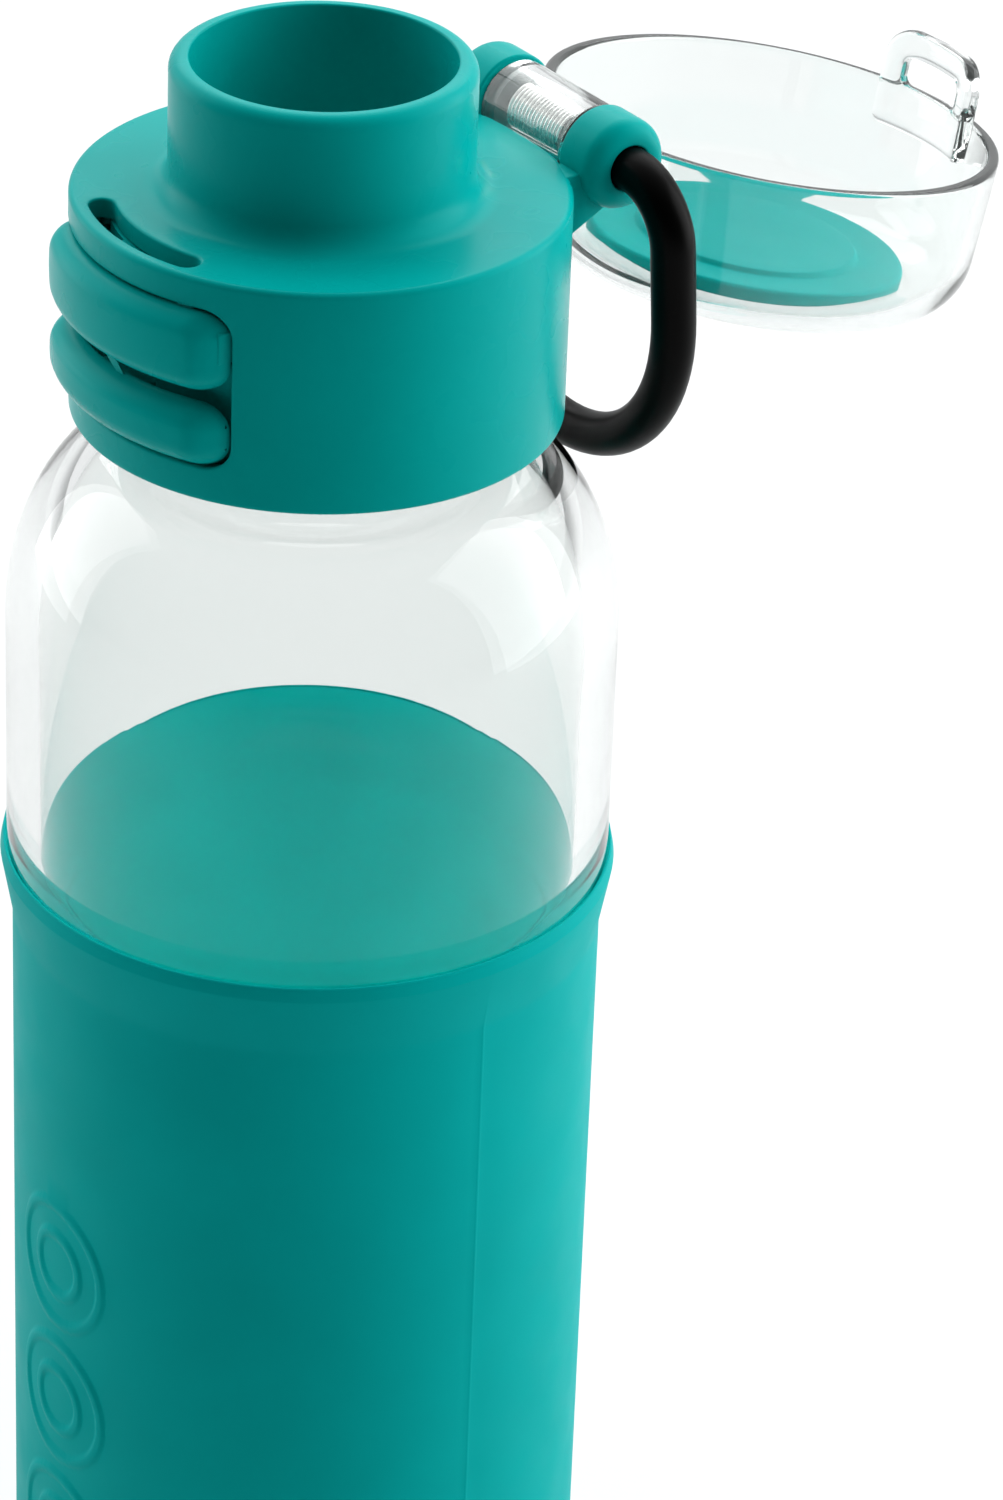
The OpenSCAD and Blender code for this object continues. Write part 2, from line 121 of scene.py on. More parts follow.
world = bpy.data.worlds.new("studio")
scene.world = world
world.use_nodes = True
sky = world.node_tree
behind = Vector((-towards.x, -towards.y, 0.35)).normalized()
FRONT, BACK = -0.35, 0.55  # how far a direction points behind the bottle, at each end of the ramps
LIT_SKY, SEEN_SKY = (0.03, 0.95), (0.80, 0.95)  # strength at the front and at the back


def sky_node(kind, **settings):
    """Adds a node to the sky and sets its named inputs."""
    made = sky.nodes.new(kind)
    for socket, value in settings.items():
        made.inputs[socket.replace("_", " ")].default_value = value
    return made


facing = sky_node("ShaderNodeVectorMath")
facing.operation = "DOT_PRODUCT"
facing.inputs[1].default_value = behind
sky.links.new(sky_node("ShaderNodeTexCoord").outputs["Generated"], facing.inputs[0])
choice = sky_node("ShaderNodeMix")
for slot, (front, back) in ((2, LIT_SKY), (3, SEEN_SKY)):
    ramp = sky_node("ShaderNodeMapRange", From_Min=FRONT, From_Max=BACK, To_Min=front, To_Max=back)
    sky.links.new(facing.outputs["Value"], ramp.inputs["Value"])
    sky.links.new(ramp.outputs["Result"], choice.inputs[slot])
ray = sky_node("ShaderNodeLightPath")
clear_ray = sky_node("ShaderNodeMath")
sky.links.new(ray.outputs["Is Camera Ray"], clear_ray.inputs[0])
sky.links.new(ray.outputs["Is Transmission Ray"], clear_ray.inputs[1])
sky.links.new(clear_ray.outputs[0], choice.inputs[0])
sky.links.new(choice.outputs[0], sky.nodes["Background"].inputs["Strength"])
sky.nodes["Background"].inputs["Color"].default_value = (0.98, 0.99, 1, 1)


LAMP_AIM = Vector((0, 0, 0.15))


def softbox(name, side, back, height, wide, tall, watts):
    """An area light placed by metres to the right of the camera, metres behind the bottle and height."""
    away = Vector((-towards.x, -towards.y, 0)).normalized()
    place = level * side + away * back + Vector((0, 0, height))
    data = bpy.data.lights.new(name, "AREA")
    data.shape, data.size, data.size_y, data.energy = "RECTANGLE", wide, tall, watts
    lamp = bpy.data.objects.new(name, data)
    scene.collection.objects.link(lamp)
    gaze = (LAMP_AIM - place).normalized()
    lamp.matrix_world = Matrix.Translation(place) @ gaze.to_track_quat("-Z", "Y").to_matrix().to_4x4()
    return lamp


softbox("softbox_right", 0.95, 0.12, 0.50, 0.9, 1.2, 12)
softbox("softbox_left", -0.95, 0.42, 0.50, 0.7, 1.2, 5)
softbox("softbox_above", 0.0, 0.95, 1.25, 1.8, 1.2, 16)

# %% [markdown]
# Materials are drawn with nodes. One helper adds a node, sets its options and feeds its sockets with
# either a value or another node's output. One more turns the hex colour of a paint chart to linear.

# %% Node and colour helpers
def linear(code):
    """sRGB hex to linear RGBA."""
    parts = [int(code[i:i + 2], 16) / 255 for i in (1, 3, 5)]
    return tuple(c / 12.92 if c <= 0.04045 else ((c + 0.055) / 1.055) ** 2.4 for c in parts) + (1,)


def add(tree, kind, options={}, sockets={}):
    """Adds one node with its options, its socket values and its links."""
    made = tree.nodes.new(kind)
    for key, value in options.items():
        setattr(made, key, value)
    for key, value in sockets.items():
        if isinstance(value, bpy.types.NodeSocket):
            tree.links.new(value, made.inputs[key])
        else:
            made.inputs[key].default_value = value
    return made


def blank(name):
    """A material with an empty node tree."""
    material = bpy.data.materials.new(name)
    material.use_nodes = True
    material.node_tree.nodes.clear()
    return material, material.node_tree


def grain(tree, size_mm, detail=2.0):
    """Noise whose blobs are size_mm across, laid through the solid in the part's own coordinates."""
    place = add(tree, "ShaderNodeTexCoord").outputs["Object"]
    sockets = {"Vector": place, "Scale": 1 / (size_mm * MM), "Detail": detail}
    noise = add(tree, "ShaderNodeTexNoise", {}, sockets)
    return noise.outputs["Fac"]


def span(tree, value, low, high):
    """Spreads the useful middle of a noise over low to high."""
    ends = {"From Min": 0.3, "From Max": 0.7, "To Min": low, "To Max": high}
    return add(tree, "ShaderNodeMapRange", {}, {"Value": value} | ends).outputs["Result"]


def tone_mix(tree, drift, deep, pale):
    """A colour that wanders from deep to pale with a noise."""
    sockets = {0: span(tree, drift, 0, 1), 6: linear(deep), 7: linear(pale)}
    return add(tree, "ShaderNodeMix", {"data_type": "RGBA"}, sockets).outputs[2]


# %% [markdown]
# Moulded plastics and rubbers share a build: pigment that drifts very slightly over centimetres, a
# skin whose gloss drifts too, and the fine texture left by the mould steel. The numbers differ: the
# polypropylene cap is satin, silicone is duller, the pale liner and neck ring let a little light into
# their skin, and the black rubber of the loop has almost no colour of its own.
#
# The sleeve is a thin wall of cloudy silicone round clear glass, and its inside is seen
# through the bottle. It glows there with light that soaks in from behind. So its wall lets lamp light
# through, dyed teal, and the inner face is a mix of plain skin and a translucent sheet.

# %% Moulded finishes
SKIN_DEPTH = 1.2 * MM


def moulded(name, deep, pale, rough, texture_mm, relief_mm, ior=1.49, soft=0.0, gloss=0.5,
            gloss_tint="#FFFFFF"):
    """Moulded plastic or rubber: colours as hex, rough as (smooth, dull), texture and relief in mm."""
    material, tree = blank(name)
    pigment = tone_mix(tree, grain(tree, 22), deep, pale)
    fine = grain(tree, texture_mm, 3)
    bump = add(tree, "ShaderNodeBump", {}, {"Strength": 1, "Distance": relief_mm * MM, "Height": fine})
    skin = add(tree, "ShaderNodeBsdfPrincipled", {}, {
        "Base Color": pigment, "Roughness": span(tree, grain(tree, 7), *rough), "IOR": ior,
        "Subsurface Weight": soft, "Subsurface Radius": (0.25, 1.0, 1.0), "Subsurface Scale": SKIN_DEPTH,
        "Specular IOR Level": gloss, "Specular Tint": linear(gloss_tint),
        "Normal": bump.outputs["Normal"]})
    add(tree, "ShaderNodeOutputMaterial", {}, {"Surface": skin.outputs[0]})
    return material


cap_plastic = moulded("injection_moulded_polypropylene", "#009D99", "#00A5A1", (0.24, 0.32), 0.5, 0.003,
                      1.49, 0.0, 0.07, "#20FFF6")
inner_plastic = moulded("moulded_dark_acetal", "#012F2D", "#023B38", (0.28, 0.36), 0.5, 0.004, 1.48)
liner_plastic = moulded("moulded_natural_polypropylene", "#C9D6D4", "#D6E0DE", (0.36, 0.46), 0.6, 0.005,
                        1.49, 0.2)
sleeve_rubber = moulded("moulded_silicone_rubber", "#00A09E", "#00A7A5", (0.46, 0.56), 0.45, 0.006,
                        1.41, 0.0, 0.05, "#30FFF6")


def lets_light_in(material, passed, rays=("Is Shadow Ray",)):
    """Light reaches through this thin wall, dyed on the way."""
    tree = material.node_tree
    ends = [n for n in tree.nodes if n.type == "OUTPUT_MATERIAL"][0]
    wall = ends.inputs["Surface"].links[0].from_socket
    through = add(tree, "ShaderNodeBsdfTransparent", {}, {"Color": linear(passed)})
    path = add(tree, "ShaderNodeLightPath")
    for ray in rays:
        both = add(tree, "ShaderNodeMixShader", {}, {0: path.outputs[ray], 1: wall, 2: through.outputs[0]})
        wall = both.outputs[0]
    tree.links.new(wall, ends.inputs["Surface"])


SOAKED = 0.7  # share of translucent sheet in the inner face


def lit_silicone(name, deep, pale):
    """The inner face of a silicone wall, which glows with the light that soaks through from outside."""
    material, tree = blank(name)
    dye = tone_mix(tree, grain(tree, 14), deep, pale)
    face = add(tree, "ShaderNodeBsdfPrincipled", {}, {
        "Base Color": dye, "Roughness": 0.6, "IOR": 1.41, "Specular IOR Level": 0.1})
    soak = add(tree, "ShaderNodeBsdfTranslucent", {}, {"Color": dye})
    both = add(tree, "ShaderNodeMixShader", {}, {0: SOAKED, 1: face.outputs[0], 2: soak.outputs[0]})
    add(tree, "ShaderNodeOutputMaterial", {}, {"Surface": both.outputs[0]})
    return material


WALL_DYE = "#20EFEC"
lets_light_in(sleeve_rubber, WALL_DYE, ("Is Shadow Ray", "Is Diffuse Ray"))
sleeve_inside = lit_silicone("silicone_rubber_lit_through", "#00A09C", "#00A8A4")
lets_light_in(sleeve_inside, WALL_DYE)
seal_rubber = moulded("pressed_silicone_disc", "#008E8B", "#009592", (0.38, 0.48), 0.5, 0.005,
                      1.41, 0.0, 0.07, "#30FFF6")
ring_rubber = moulded("moulded_clear_silicone", "#D9E2E0", "#E4EAE8", (0.38, 0.46), 0.5, 0.004, 1.41, 0.25)
loop_rubber = moulded("moulded_black_rubber", "#020202", "#040404", (0.3, 0.4), 0.35, 0.004,
                      1.52, 0.0, 0.05)
print("moulded finishes", [m.name for m in bpy.data.materials if "moulded" in m.name])

# %% [markdown]
# Two clear finishes. The bottle is blown soda-lime glass: hard gloss, a slow ripple from the mould
# and a trace of grey-green. The lid is moulded copolyester, a hair duller. The grey mirror colour
# holds back the softboxes' reflections. Lamps shine straight through both, as they do through a thin
# wall, so the bottle throws no black shadow.

# %% Clear finishes
def clear(name, tint, ior, rough, ripple_mm, relief_mm, clarity=1.0, mirror="#FFFFFF"):
    """Clear wall: tint as hex, ior, rough as (low, high), width and depth of its ripple in mm."""
    material, tree = blank(name)
    slow = grain(tree, ripple_mm, 0)
    ripple = add(tree, "ShaderNodeBump", {}, {"Strength": 1, "Distance": relief_mm * MM, "Height": slow})
    wall = add(tree, "ShaderNodeBsdfPrincipled", {}, {
        "Base Color": linear(tint), "Roughness": span(tree, grain(tree, 9), *rough), "IOR": ior,
        "Transmission Weight": clarity, "Specular Tint": linear(mirror), "Normal": ripple.outputs["Normal"]})
    passing = add(tree, "ShaderNodeBsdfTransparent", {}, {"Color": linear("#F4F7F6")})
    lamp_ray = add(tree, "ShaderNodeLightPath").outputs["Is Shadow Ray"]
    surface = add(tree, "ShaderNodeMixShader", {}, {0: lamp_ray, 1: wall.outputs[0], 2: passing.outputs[0]})
    add(tree, "ShaderNodeOutputMaterial", {}, {"Surface": surface.outputs[0]})
    return material


bottle_glass = clear("blown_soda_lime_glass", "#F0F2F1", 1.52, (0.0, 0.012), 16, 0.02, 1.0, "#7C8080")
lid_plastic = clear("moulded_clear_copolyester", "#F2F5F4", 1.54, (0.0, 0.03), 11, 0.012, 0.99, "#C4C8C8")


# %% [markdown]
# Spring steel is drawn cold through a die, which leaves hair lines along the wire. The noise is
# stretched across the pin so that the lines run round the coil, as the eye sees them.

# %% Drawn steel
def drawn_steel(name, dark, bright):
    """Bright drawn wire with hair lines a tenth of a millimetre apart."""
    material, tree = blank(name)
    place = add(tree, "ShaderNodeTexCoord").outputs["Object"]
    long = add(tree, "ShaderNodeMapping", {}, {"Vector": place, "Scale": (10000, 900, 900)}).outputs[0]
    hair = add(tree, "ShaderNodeTexNoise", {}, {"Vector": long, "Scale": 1, "Detail": 2}).outputs["Fac"]
    tone = tone_mix(tree, hair, dark, bright)
    skin = add(tree, "ShaderNodeBsdfPrincipled", {}, {
        "Base Color": tone, "Metallic": 1, "Roughness": span(tree, hair, 0.16, 0.3)})
    add(tree, "ShaderNodeOutputMaterial", {}, {"Surface": skin.outputs[0]})
    return material


spring_steel = drawn_steel("drawn_stainless_steel", "#B9B8B6", "#DAD9D7")

# %% [markdown]
# Most pieces here are turned shapes, so they start as an outline spun round an axis. A list of
# corners, each with its own radius, becomes a smooth outline: a straight run to each corner and an
# arc of that radius. Spinning it by hand keeps every ring where it is wanted.

# %% Outline and spinning helpers
def rounded(points, step=9):
    """Corners (a, b, radius) to a list of points with an arc at each corner that has a radius."""
    made = []
    for i, (a, b, r) in enumerate(points):
        here = Vector((a, b))
        before, after = Vector(points[i - 1][:2]), Vector(points[(i + 1) % len(points)][:2])
        if r <= 0:
            made.append((a, b))
            continue
        u, w = (before - here).normalized(), (after - here).normalized()
        half = u.angle(w) / 2
        reach = r / tan(half)
        centre = here + (u + w).normalized() * (r / sin(half))
        start = here + u * reach - centre
        turns = max(2, int(round(abs(pi - 2 * half) / radians(step))))
        sign = 1 if u.x * w.y - u.y * w.x < 0 else -1
        for k in range(turns + 1):
            t = sign * (pi - 2 * half) * k / turns
            made.append((centre.x + start.x * cos(t) - start.y * sin(t),
                         centre.y + start.x * sin(t) + start.y * cos(t)))
    return made


def dense(outline, gap, low=-1e9, high=1e9):
    """Splits the long runs of an outline between two heights so that no step is over gap."""
    made = []
    for (a0, b0), (a1, b1) in zip(outline, outline[1:] + outline[:1]):
        bottom, top = min(b0, b1), max(b0, b1)
        inside = (low <= bottom + gap and top - gap <= high) or (bottom < low and top > high)
        n = max(1, int(sqrt((a1 - a0) ** 2 + (b1 - b0) ** 2) / gap)) if inside else 1
        made += [(a0 + (a1 - a0) * k / n, b0 + (b1 - b0) * k / n) for k in range(n)]
    return made


def new_piece(name, bm, material, sharp=32):
    """Turns a bmesh in millimetres into a smooth-shaded object in metres."""
    bmesh.ops.remove_doubles(bm, verts=bm.verts, dist=1e-4)
    bmesh.ops.recalc_face_normals(bm, faces=bm.faces)
    bmesh.ops.scale(bm, verts=bm.verts, vec=(MM, MM, MM))
    mesh = bpy.data.meshes.new(name)
    bm.to_mesh(mesh)
    bm.free()
    mesh.shade_smooth()
    mesh.set_sharp_from_angle(angle=radians(sharp))
    mesh.materials.append(material)
    piece = bpy.data.objects.new(name, mesh)
    scene.collection.objects.link(piece)
    return piece


def spin(bm, outline, angles, shape=None):
    """Spins a closed outline of (radius, height) round Z. shape(r, z, angle) may change the radius."""
    if isinstance(angles, int):
        angles = [2 * pi * k / angles for k in range(angles)]
    rings = []
    for t in angles:
        ring = []
        for r, z in outline:
            q = shape(r, z, t) if shape and r > 0 else r
            ring.append(bm.verts.new((q * cos(t), q * sin(t), z)))
        rings.append(ring)
    for here, there in zip(rings, rings[1:] + rings[:1]):
        for i in range(len(outline)):
            j = (i + 1) % len(outline)
            if outline[i][0] <= 0 and outline[j][0] <= 0:
                continue
            if outline[i][0] <= 0:
                bm.faces.new((here[i], here[j], there[j]))
            elif outline[j][0] <= 0:
                bm.faces.new((here[i], here[j], there[i]))
            else:
                bm.faces.new((here[i], here[j], there[j], there[i]))


def settle(piece, body, slot, *nodes):
    """Hangs a piece on its body and hides the plain part it stands for."""
    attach(piece, body)
    if nodes:
        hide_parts(*nodes)
    print(piece.name, "for", nodes, "rides on", body, "-", len(piece.data.vertices), "points")


# %% [markdown]
# The bottle is blown glass with a 4 mm wall, a recess that the sleeve sits in, a round shoulder and a
# screw finish. The wall thickness matters more than anything: the inner skin mirrors whatever
# meets it at a steep angle, which draws the pale band down each edge. Inside, the shoulder starts
# INSIDE_DROP lower than outside: with both at one height the wall becomes a wedge all at once, which
# bends the view into the sleeve and draws a false step in it. The thread is not a separate
# piece: the rings of the neck swell where the helix passes, so the glass stays one closed solid.

# %% Glass bottle
GLASS_R, GLASS_LOW_R, WALL, NECK_R, NECK_BORE = 35.65, 33.1, 4.0, 17.9, 14.6
FLOOR_Z, BASE = 2.0, 6.0
SHOULDER_A, SHOULDER_B, RIM_H, INSIDE_DROP = 16.0, 23.2, 17.0, 1.8
THREAD_LO, PITCH, TURNS, CREST, THREAD_HALF, FADE = 5.6, 4.0, 1.5, 19.3, 1.15, 0.05

shoulder_z = cap_z - SHOULDER_B - 3.8
shoulder_x = GLASS_R - SHOULDER_A


def quarter(cx, cz, a, b, start, stop):
    """Points on an ellipse round (cx, cz) from start to stop degrees."""
    turns = [radians(start + (stop - start) * k / 22) for k in range(23)]
    return [(cx + a * cos(t), cz + b * sin(t), 0) for t in turns]


glass_outline = rounded(
    [(0, FLOOR_Z + 2.2, 0), (17, FLOOR_Z + 1.4, 12), (23, FLOOR_Z, 2), (GLASS_LOW_R, FLOOR_Z, 5)]
    + [(GLASS_LOW_R, sleeve_top - 11.5, 6), (GLASS_R, sleeve_top - 3, 5)]
    + quarter(shoulder_x, shoulder_z, SHOULDER_A, SHOULDER_B, 0, 88)
    + [(NECK_R, cap_z - 3.2, 1.5)]
    + [(NECK_R, cap_z + RIM_H, 0.8), (NECK_BORE, cap_z + RIM_H, 0.8), (NECK_BORE, cap_z - 6.3, 3)]
    + quarter(shoulder_x, shoulder_z - INSIDE_DROP,
              SHOULDER_A - WALL, SHOULDER_B - WALL + INSIDE_DROP, 86, 0)
    + [(GLASS_R - WALL, sleeve_top - 1, 14), (GLASS_LOW_R - WALL, sleeve_top - 11, 14)]
    + [(GLASS_LOW_R - WALL, FLOOR_Z + BASE, 8), (0, FLOOR_Z + BASE + 1.5, 0)])


def thread_swell(r, z, t):
    """Radius of the neck with the one and a half turns of thread standing on it."""
    if abs(r - NECK_R) > 0.05 or not cap_z < z < cap_z + RIM_H - 1:
        return r
    rise, best = z - cap_z - THREAD_LO, 0
    for k in range(-1, 3):
        along = k - t / (2 * pi)
        if -FADE <= along <= TURNS + FADE:
            ends = min(1, max(0, (along + FADE) / (2 * FADE)), max(0, (TURNS + FADE - along) / (2 * FADE)))
            best = max(best, ends * max(0, 1 - (abs(rise - along * PITCH) / THREAD_HALF) ** 2))
    return r + (CREST - NECK_R) * best


bm = bmesh.new()
spin(bm, dense(dense(glass_outline, 2.5), 0.22, cap_z + 3, cap_z + 14), 160, thread_swell)
bottle = new_piece("blown_bottle", bm, bottle_glass, 50)
settle(bottle, "bottle", "glass", "glass_bottle")

# %% [markdown]
# The sleeve is a cup of soft silicone stretched on from below. It flares to a crisp edge just under
# its mouth, and slopes in from there to grip the glass. On the latch side a column of raised ring
# badges gives grip, and the two mould halves leave a hair line down the right side. All of that is
# real relief: the spun rings are packed close where the badges and the line are. Automatic normals
# take this deep cup inside out, so they are flipped, and the faces that look at the axis then get
# the finish of the lit inner wall.

# %% Silicone sleeve
SLEEVE_R, LIP_R, AIR = 35.0, 36.4, 0.12
BADGE_R, BADGE_PITCH, BADGE_Z, BADGES, BADGE_OUT = 8.75, 19.7, 20.2, 5, 0.3
RING_HALF, RING_SOFT = 0.62, 0.18
LINE_TURN, LINE_OUT, LINE_HALF = radians(2), 0.05, 0.28

sleeve_outline = rounded([
    (13, 0, 0.6), (SLEEVE_R, 0, 4), (SLEEVE_R, sleeve_top - 10.0, 6),
    (LIP_R, sleeve_top - 2.2, 0.45), (GLASS_R + 0.3, sleeve_top, 0.2),
    (GLASS_R + AIR, sleeve_top - 0.5, 0.1), (GLASS_R + AIR, sleeve_top - 2.9, 5),
    (GLASS_LOW_R + AIR, sleeve_top - 11.5, 6),
    (GLASS_LOW_R + AIR, FLOOR_Z - AIR, 5), (13, FLOOR_Z - AIR, 0.3)], 7)


def sleeve_relief(r, z, t):
    """Radius of the sleeve with its badges and its mould line."""
    if r < SLEEVE_R - 0.6:
        return r
    out = 0.0
    side = ((t + pi / 2 + pi) % (2 * pi) - pi) * SLEEVE_R
    if abs(side) < BADGE_R + 1:
        row = min(BADGES - 1, max(0, round((z - BADGE_Z) / BADGE_PITCH)))
        far = sqrt(side * side + (z - BADGE_Z - row * BADGE_PITCH) ** 2)
        for middle in (BADGE_R - 0.5, BADGE_R - 4.5):
            s = min(1, max(0, (RING_HALF + RING_SOFT - abs(far - middle)) / (2 * RING_SOFT)))
            out = max(out, BADGE_OUT * s * s * (3 - 2 * s))
    line = abs((t - LINE_TURN + pi) % (2 * pi) - pi) * SLEEVE_R
    if 6 < z < sleeve_top - 9:
        out = max(out, LINE_OUT * max(0, 1 - line / LINE_HALF))
    return r + out


LATCH_SIDE, BADGE_TURN = 1.5 * pi, radians(16)
badge_top = BADGE_Z + (BADGES - 1) * BADGE_PITCH + 10
sleeve_angles = sorted(
    [2 * pi * k / 150 for k in range(150) if abs(2 * pi * k / 150 - LATCH_SIDE) > BADGE_TURN]
    + [LATCH_SIDE + BADGE_TURN * (k / 40) for k in range(-39, 40)]
    + [LINE_TURN + d / SLEEVE_R for d in (-0.3, -0.15, 0.15, 0.3)] + [LINE_TURN])
bm = bmesh.new()
spin(bm, dense(dense(sleeve_outline, 3), 0.36, 9, badge_top), sleeve_angles, sleeve_relief)
sleeve = new_piece("silicone_cup", bm, sleeve_rubber, 40)
sleeve.data.flip_normals()
sleeve.data.materials.append(sleeve_inside)
for face in sleeve.data.polygons:
    outward = Vector(face.center[:2])
    if Vector(face.normal[:2]).dot(outward) < -0.4 * outward.length:
        face.material_index = 1
settle(sleeve, "bottle", "silicone", "silicone_sleeve")

# %% [markdown]
# Straight-sided pieces start as a box whose edges are bevelled, which is how a moulder breaks an
# edge. Some of them follow the round collar, so the box is sliced into strips and each point is
# moved out to its radius from the bottle axis: depth becomes radius.

# %% Block helpers
def box_mesh(x, y, z, edge=0.3):
    """A bevelled box between pairs of coordinates."""
    bm = bmesh.new()
    bmesh.ops.create_cube(bm, size=1)
    for v in bm.verts:
        v.co = Vector([a[0] + (a[1] - a[0]) * (c + 0.5) for a, c in zip((x, y, z), v.co)])
    if edge:
        bmesh.ops.bevel(bm, geom=bm.edges[:], offset=edge, segments=3, profile=0.5, affect="EDGES")
    return bm


def bend_round(bm, planes=36):
    """Slices a mesh along X and wraps it on the collar: its -Y depth becomes radius."""
    low, high = min(v.co.x for v in bm.verts), max(v.co.x for v in bm.verts)
    for k in range(1, planes):
        x = low + (high - low) * k / planes
        geom = bm.verts[:] + bm.edges[:] + bm.faces[:]
        bmesh.ops.bisect_plane(bm, geom=geom, plane_co=(x, 0, 0), plane_no=(1, 0, 0), dist=1e-5)
    for v in bm.verts:
        radius = -v.co.y
        v.co.y = -sqrt(radius * radius - v.co.x * v.co.x)
    return bm


def curved_block(x, radius, z, edge=0.25, planes=30):
    """A bevelled block that follows the collar, between two radii."""
    return bend_round(box_mesh(x, (-radius[1], -radius[0]), z, edge), planes)


def merge(bm, other, matrix=None):
    """Adds another bmesh into bm, moved by matrix."""
    if matrix:
        other.transform(matrix)
    spare = bpy.data.meshes.new("spare")
    other.to_mesh(spare)
    other.free()
    bm.from_mesh(spare)
    bpy.data.meshes.remove(spare)
    return bm


def carve(piece, tool_bm, how="DIFFERENCE"):
    """Cuts a tool out of a piece, or welds it on, and keeps the result as plain mesh."""
    tool = new_piece("tool", tool_bm, piece.data.materials[0])
    step = piece.modifiers.new("carve", "BOOLEAN")
    step.operation, step.solver, step.object = how, "EXACT", tool
    bpy.context.view_layer.update()
    finished = piece.evaluated_get(bpy.context.evaluated_depsgraph_get())
    result = bpy.data.meshes.new_from_object(finished)
    piece.modifiers.clear()
    piece.data = result
    bpy.data.objects.remove(tool)
    return piece


def smooth(piece, sharp=32):
    """Smooth shading that breaks at real edges."""
    piece.data.shade_smooth()
    piece.data.set_sharp_from_angle(angle=radians(sharp))
    return piece


# %% [markdown]
# The cap is one injection moulding: collar, top and spout. It is spun whole, then a slot for the lid
# catch and a window for the two pads are cut from it. Each cutter widens a little at the surface, so
# the cut leaves the thin soft edge that a moulding has and that catches the light.

# %% Cap moulding
COLLAR_R, COLLAR_H, COLLAR_WALL, COLLAR_TOP = 28.3, 26.9, 1.6, 2.3
SPOUT_R, SPOUT_H, BORE_R = 17.27, 42.6, 15.0
shell_in, top_under = COLLAR_R - COLLAR_WALL, COLLAR_H - COLLAR_TOP

cap_outline = rounded([
    (shell_in, 0, 0.2), (COLLAR_R, 0, 0.6), (COLLAR_R, COLLAR_H, 0.75), (SPOUT_R, COLLAR_H, 3.0),
    (SPOUT_R, SPOUT_H, 1.6), (BORE_R, SPOUT_H, 0.28), (BORE_R, RIM_H + 3.4, 0.2), (SPOUT_R, RIM_H + 3.4, 0.2),
    (SPOUT_R, top_under, 0.4), (shell_in, top_under, 0.6)], 8)
bm = bmesh.new()
spin(bm, dense(cap_outline, 1.5), 180)
cap = new_piece("flip_cap_moulding", bm, cap_plastic)

SLOT_IN, SLOT_OUT, SLOT_HALF = 23.5, 26.55, 23.4
WINDOW_W, WINDOW_LO, WINDOW_HI = 16.6, 4.2, 23.3


def loft(bm, loops):
    """Skins a row of closed loops and closes both ends."""
    rings = [[bm.verts.new(p) for p in loop] for loop in loops]
    n = len(rings[0])
    for here, there in zip(rings, rings[1:]):
        for i in range(n):
            bm.faces.new((here[i], here[(i + 1) % n], there[(i + 1) % n], there[i]))
    bm.faces.new(rings[0])
    bm.faces.new(rings[-1])
    return bm


def slot_loop(grow, z):
    """Outline of the catch slot, grown by grow, at height z: an arc of constant width with round ends."""
    middle, half = (SLOT_IN + SLOT_OUT) / 2, (SLOT_OUT - SLOT_IN) / 2 + grow
    end = radians(SLOT_HALF - 3.2)
    points = []
    for k in range(41):
        t = -end + 2 * end * k / 40
        points.append(((middle + half) * sin(t), -(middle + half) * cos(t), z))
    for side, t0 in ((1, end), (-1, -end)):
        cx, cy = middle * sin(t0), -middle * cos(t0)
        for k in range(1, 16):
            a = pi * k / 16
            outward = half * cos(a) if side == 1 else -half * cos(a)
            onward = side * half * sin(a)
            points.append((cx + outward * sin(t0) + onward * cos(t0),
                           cy - outward * cos(t0) + onward * sin(t0), z))
        if side == 1:
            for k in range(41):
                t = end - 2 * end * k / 40
                points.append(((middle - half) * sin(t), -(middle - half) * cos(t), z))
    return points


def flare(depth, soft):
    """How far a cutter grows at each depth under the surface, to leave a soft edge of radius soft."""
    return soft - sqrt(max(0, soft * soft - max(0, soft - depth) ** 2)) if depth < soft else 0.0


EDGE = 0.35
slot_steps = [(COLLAR_H - d, flare(d, EDGE)) for d in (3.5, 2.5, EDGE, 0.22, 0.12, 0.05, 0.0)]
carve(cap, loft(bmesh.new(), [slot_loop(g, z) for z, g in slot_steps] + [slot_loop(EDGE, COLLAR_H + 1)]))


def window_loop(grow, radius):
    """Outline of the pad window, grown by grow, on a cylinder of that radius."""
    wide, low, high, corner = WINDOW_W + grow, WINDOW_LO - grow, WINDOW_HI + grow, 3 + grow
    outline = rounded([(-wide, low, corner), (wide, low, corner),
                       (wide, high, corner), (-wide, high, corner)], 9)
    return [(x, -sqrt(radius * radius - x * x), z) for x, z in dense(outline, 0.9)]


window_steps = ([(19.0, 0.0), (COLLAR_R - EDGE, 0.0)]
                + [(COLLAR_R - d, flare(d, EDGE)) for d in (0.2, 0.1, 0.04, 0.0)] + [(COLLAR_R + 3, EDGE)])
carve(cap, loft(bmesh.new(), [window_loop(grow, radius) for radius, grow in window_steps]))

# %% [markdown]
# Behind the window sits a pocket: a curved wall, two cheeks and a sill, which keep drinks and dirt
# out and carry the sliding pads. Two knuckles stand at the back with a web down to the collar; each
# has a domed shoulder and a blind bore for the end of the carry loop.

# %% Pocket and knuckles
PANEL_IN, PANEL_OUT, PANEL_TOP = 24.8, 25.8, 16.2
KNUCKLE_R, KNUCKLE_IN, KNUCKLE_OUT, DOME = 5.44, 8.2, 14.6, 2.2
ROD_R, PIN_R, SPRING_X, SEAT_Y = 2.6, 1.3, 14.6, -17.1

